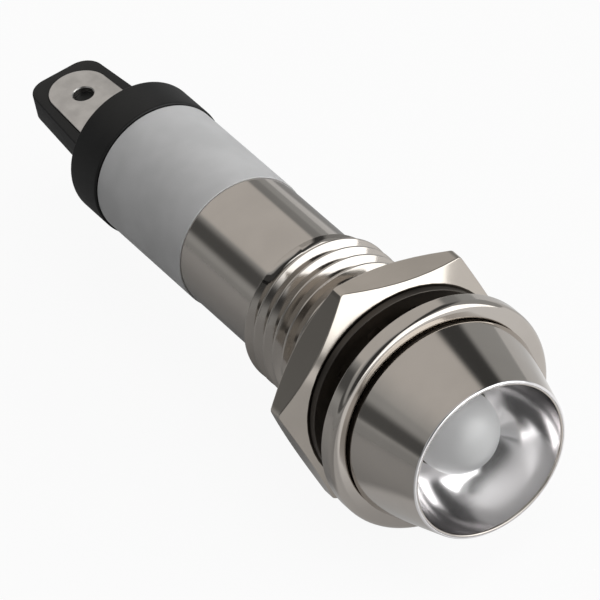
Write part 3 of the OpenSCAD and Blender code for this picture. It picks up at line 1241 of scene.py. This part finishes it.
    def dress(self, black: bpy.types.Material, tinned: bpy.types.Material) -> None:
        """Builds the cap and both lugs and dresses them.

        Args:
            black: The cap's moulding.
            tinned: The lugs' metal.
        """
        dress(self.cap(), "light", "moulding", ("rear_cap",), black)
        for side in Side:
            dress(self.lug(side), "light", "lug", (f"terminal_lug_{side.name.lower()}",), tinned)


@dataclass
class InnerParts:
    """Finishes of the pieces inside the barrel, which keep their own solids."""

    band: float = 0.07

    def dress(self) -> None:
        """Gives each hidden node its finish."""
        low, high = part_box("resistor_body")
        length = high.y - low.y
        bands = tuple(
            (low.y + share * length, low.y + (share + self.band) * length, paint)
            for share, paint in (
                (0.14, (0.35, 0.02, 0.01)), (0.3, (0.3, 0.02, 0.3)),
                (0.46, (0.25, 0.1, 0.02)), (0.78, (0.5, 0.35, 0.08)),
            )
        )
        tinned = PlatedMetal("tinned_wire", (0.62, 0.61, 0.6), 0.25).material()
        frames = PlatedMetal("lamp_frame", (0.7, 0.69, 0.67), 0.22).material()
        diode_low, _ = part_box("diode_body")
        finishes = {
            "lamp_anode": frames,
            "lamp_cathode": frames,
            "lamp_chip": Moulding("chip", (0.8, 0.72, 0.3), 0.3).material(),
            "bond_wire": PlatedMetal("gold_wire", (0.9, 0.65, 0.28), 0.15).material(),
            "lamp_holder": Moulding("holder_black", (0.02, 0.02, 0.02), 0.5).material(),
            "lead_tubing": Moulding("tubing_pale", (0.7, 0.66, 0.55), 0.45).material(),
            "resistor_body": Banded("resistor_lacquer", (0.06, 0.2, 0.33), bands).material(),
            "resistor_leads": tinned,
            "diode_body": Banded("diode_glass", (0.45, 0.13, 0.03), (
                (diode_low.y + 0.0004, diode_low.y + 0.0008, (0.01, 0.01, 0.01)),
            )).material(),
            "diode_leads": tinned,
            "solder_joints": TinnedSheet("solder", (0.6, 0.61, 0.62), 0.3).material(),
            "insulating_sleeve": Moulding("liner_film", (0.66, 0.62, 0.48), 0.4).material(),
        }
        for name, finish in finishes.items():
            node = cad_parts[name]
            node.data.materials.clear()
            node.data.materials.append(finish)
            LOG.info("%s: kept as packed, with finish %s", name, finish.name)


# ---------------------------------------------------------------- studio


@dataclass
class Studio:
    """Floor, surroundings, lamps and camera. Lengths in metres, angles in degrees.

    The studio has its own heading: right and ahead of the camera, and upwards. It leans about
    the part's axis, since the part lies rolled over to one side. The floor and the walls look
    white to the camera. Metal and glass see them darker, as the shares and levels here say.
    """

    azimuth: float = -32.41
    elevation: float = 33.95
    roll: float = 12.0
    distance: float = 0.399
    lens: float = 420.0
    aim_right: float = -0.00742
    aim_up: float = 0.00614
    floor_r: float = 0.5
    # shares of plain white in the floor: to the camera, to metal, and to glass
    white_seen: float = 0.93
    white_mirrored: float = 0.06
    white_before: float = 0.33
    white_beside: float = 0.5
    white_through: float = 0.3
    # levels of the walls, and what panels and gaps add to them or take away
    wall_level: float = 0.42
    panel_gain: float = 0.28
    bright_gain: float = 2.2
    strip_gain: float = 0.9
    below_loss: float = 0.08
    front_loss: float = 0.36
    gap_left_loss: float = 0.75
    gap_right_loss: float = 0.84
    scattered_loss: float = 0.3

    def _leaned(self, way: Vector) -> Vector:
        """Turns a direction of the studio into the part's own frame."""
        return Matrix.Rotation(math.radians(self.roll), 3, "Y") @ way

    def _heading(self) -> tuple[Vector, Vector, Vector]:
        """Gives the studio's right, ahead and up."""
        a = math.radians(self.azimuth)
        right, ahead = Vector((math.cos(a), math.sin(a), 0.0)), Vector((-math.sin(a), math.cos(a), 0.0))
        return self._leaned(right), self._leaned(ahead), self._leaned(Vector((0.0, 0.0, 1.0)))

    def camera(self) -> None:
        """Makes the camera."""
        right, ahead, up = self._heading()
        e = math.radians(self.elevation)
        back = up * math.sin(e) - ahead * math.cos(e)
        top = back.cross(right)
        data = bpy.data.cameras.new("camera")
        data.lens = self.lens
        data.sensor_width = 36.0
        data.clip_start, data.clip_end = 0.01, 5.0
        camera = bpy.data.objects.new("camera", data)
        camera.location = self.distance * back + self.aim_right * right + self.aim_up * top
        camera.rotation_euler = Matrix((right, top, back)).transposed().to_euler()
        bpy.context.scene.collection.objects.link(camera)
        bpy.context.scene.camera = camera

    def floor(self) -> None:
        """Makes the pale floor under the part's lowest point.

        The camera sees it nearly white, with a faint shadow. Metal sees it dark, with a brighter
        area in front of the head and another all along the right side.
        """
        level = CAD_BOX[0].z - 2e-5
        mesh = bpy.data.meshes.new("floor")
        points = [
            (self.floor_r * math.cos(math.tau * i / 96), self.floor_r * math.sin(math.tau * i / 96), level)
            for i in range(96)
        ]
        mesh.from_pydata(points, [], [tuple(range(96))])
        floor = link("floor", mesh)
        material, g = new_material("floor_pale")
        seen, mirrored, through = (
            g.add("ShaderNodeLightPath", output=name)
            for name in ("Is Camera Ray", "Is Glossy Ray", "Is Transmission Ray")
        )
        grain = g.noise(g.place(), 900.0)
        pale = g.blend(grain, (0.62, 0.62, 0.62), (0.6, 0.6, 0.6))
        dim = g.blend(grain, (0.31, 0.31, 0.31), (0.3, 0.3, 0.3))
        paper = g.add("ShaderNodeBsdfDiffuse", values={
            "Color": g.blend(mirrored, pale, dim), "Roughness": 0.5,
        })
        white = g.add("ShaderNodeEmission", values={"Color": (1, 1, 1, 1), "Strength": 1.0})
        across, along = (
            g.add("ShaderNodeVectorMath", {"operation": "DOT_PRODUCT"}, {0: g.place(), 1: axis}, "Value")
            for axis in (self._heading()[0], (0.0, 1.0, 0.0))
        )
        before = (1.0 - along.ramp(0.002, 0.012)) * across.ramp(-0.011, -0.0075)
        beside = across.ramp(0.001, 0.006)
        glossy = before * self.white_before + beside * self.white_beside + self.white_mirrored
        share = seen * self.white_seen + mirrored * glossy + through * self.white_through
        mixed = g.add("ShaderNodeMixShader", values={0: share, 1: paper, 2: white})
        g.add("ShaderNodeOutputMaterial", values={"Surface": mixed})
        mesh.materials.append(material)

    def surroundings(self) -> None:
        """Makes the studio round the part: panels, a strip, and the dark gaps between them.

        It is white to the camera. Metal mirrors the panels and gaps. The walls are laid out by
        the angle over the heading, from 0 at the right horizon over 90 at the zenith to 180 at
        the left horizon.
        """
        right, ahead, up = self._heading()
        world = bpy.data.worlds.new("studio")
        bpy.context.scene.world = world
        world.use_nodes = True
        g = Graph(world.node_tree)
        way = g.add("ShaderNodeTexCoord", output="Generated")
        unit = g.add("ShaderNodeVectorMath", {"operation": "NORMALIZE"}, {0: way})
        side, depth, height = (
            g.add("ShaderNodeVectorMath", {"operation": "DOT_PRODUCT"}, {0: unit, 1: axis}, "Value")
            for axis in (right, ahead, up)
        )
        over = g.add("ShaderNodeMath", {"operation": "ARCTAN2"}, {0: height, 1: side}) * (180 / math.pi)
        # overhead panel, which ends in front of the part, with a darker gap on each side of it
        panel = over.between(85.0, 148.0, 5.0) * depth.ramp(-0.34, -0.12)
        leaned = over + depth * 13.0
        gap_left = leaned.between(163.0, 172.0, 9.0)
        gap_right = over.between(66.0, 79.0, 8.0) * (1.0 - 0.7 * depth.ramp(0.6, 0.95))
        # bright panel beside the head, low and to the right
        bright = (1.0 - depth.ramp(0.08, 0.2)) * height.between(0.02, 0.75, 0.05) * side.ramp(0.16, 0.4)
        strip = side.ramp(0.4, 0.46) * depth.ramp(0.82, 0.88) * height.between(0.0, 0.14, 0.05)
        # darker under the horizon, and round the direction of the camera
        below = 1.0 - height.ramp(-0.1, 0.0)
        front = (height * 0.56 - depth * 0.83).ramp(0.78, 0.9)
        level = self.wall_level + panel * self.panel_gain - below * self.below_loss - front * self.front_loss
        level = level * (1.0 - gap_left * self.gap_left_loss) * (1.0 - gap_right * self.gap_right_loss)
        level = level + bright * self.bright_gain + strip * self.strip_gain
        tint = g.blend(panel, (0.985, 1.0, 1.0), (1.0, 0.975, 0.945))
        seen, scattered = (
            g.add("ShaderNodeLightPath", output=name) for name in ("Is Camera Ray", "Is Diffuse Ray")
        )
        walls = g.add("ShaderNodeBackground", values={
            "Color": tint, "Strength": level * (1.0 - scattered * self.scattered_loss),
        })
        white = g.add("ShaderNodeBackground", values={"Color": (1, 1, 1, 1), "Strength": 1.0})
        mixed = g.add("ShaderNodeMixShader", values={0: seen, 1: walls, 2: white})
        g.add("ShaderNodeOutputWorld", values={"Surface": mixed})

    def lamp(self, name: str, place: tuple[float, float, float], size: float, power: float) -> None:
        """Adds a soft lamp that metal doesn't mirror.

        Args:
            name: The lamp's name.
            place: Right, ahead and up from the origin, by the studio's heading.
            size: Side of the lamp.
            power: Its power in watts.
        """
        data = bpy.data.lights.new(name, "AREA")
        data.size, data.energy = size, power
        spot = sum((axis * x for axis, x in zip(self._heading(), place)), Vector())
        lamp = bpy.data.objects.new(name, data)
        lamp.location = spot
        lamp.rotation_euler = spot.to_track_quat("Z", "Y").to_euler()
        lamp.visible_camera = lamp.visible_glossy = False
        bpy.context.scene.collection.objects.link(lamp)

    def build(self) -> None:
        """Builds the whole studio."""
        self.floor()
        self.surroundings()
        self.lamp("overhead", (0.05, -0.1, 0.6), 0.4, 1.35)
        self.lamp("beside_head", (0.5, -0.25, 0.15), 0.6, 3.3)
        self.camera()
        bpy.context.scene.view_settings.view_transform = "Standard"


def main() -> None:
    """Builds every piece, then the studio."""
    logging.basicConfig(level=logging.INFO, format="%(message)s")
    Housing().dress(
        PlatedMetal("nickel_turned", (0.52, 0.483, 0.445), 0.1, 6e-7).material(),
        PlatedMetal("chrome_cup", (0.9, 0.882, 0.886), 0.14).material(),
        PlatedMetal("nickel_bore", (0.4, 0.37, 0.33), 0.3).material(),
        # painted shade: dark colour for the groove behind the cone and one front flank of the thread
        PlatedMetal("nickel_groove", (0.07, 0.06, 0.05), 0.4).material(),
    )
    HexNut().dress(
        PlatedMetal("nickel_nut", (0.53, 0.485, 0.435), 0.13).material(),
        # painted shade: dark colour for the nut's bore and its front face under the washer
        PlatedMetal("nickel_under_washer", (0.07, 0.06, 0.05), 0.4).material(),
    )
    LockWasher().dress(PlatedMetal("blackened_steel", (0.1, 0.09, 0.08), 0.35).material())
    Lamp().dress(ClearResin("clear_resin", (0.9, 0.9, 0.9)).material())
    Label().dress(LabelFilm("label_film", (0.47, 0.47, 0.474)).material())
    RearEnd().dress(
        Moulding("black_moulding", (0.004, 0.004, 0.004), 0.5, shine=0.3).material(),
        TinnedSheet("tinned_lug", (0.58, 0.56, 0.54), 0.34).material(),
    )
    InnerParts().dress()
    Studio().build()


if __name__ == "__main__":
    main()
